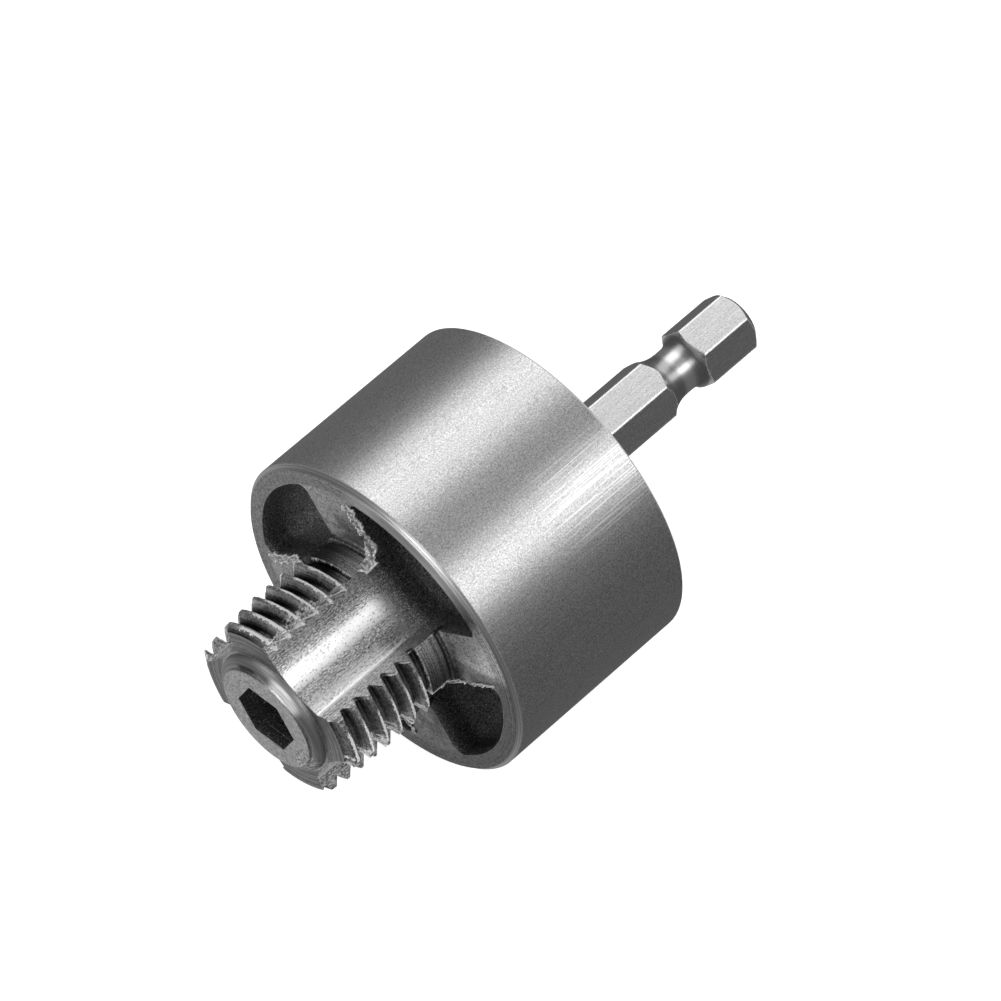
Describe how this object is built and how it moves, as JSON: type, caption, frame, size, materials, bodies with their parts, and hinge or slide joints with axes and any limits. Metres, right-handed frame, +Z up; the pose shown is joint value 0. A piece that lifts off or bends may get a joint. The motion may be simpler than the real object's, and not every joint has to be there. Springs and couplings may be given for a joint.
{
  "type": "pipe threading tool",
  "caption": "Short fluted pipe thread tap with a drum-shaped facing cutter behind it, open chip pockets between its webs, on a quick-change hex shank.",
  "frame": {"origin": "centre of the hex shank's end face, on the tool's axis", "axes": "+X along the tool's axis from the tap to the shank's end, +Z up with the tool lying on its drum"},
  "size_m": [0.065, 0.0364, 0.0364],
  "materials": {
    "body_steel": "satin",
    "shank_steel": "ground"
  },
  "bodies": {
    "root": {"cutter_body": "body_steel", "hex_shank": "shank_steel"}
  },
  "joints": []
}
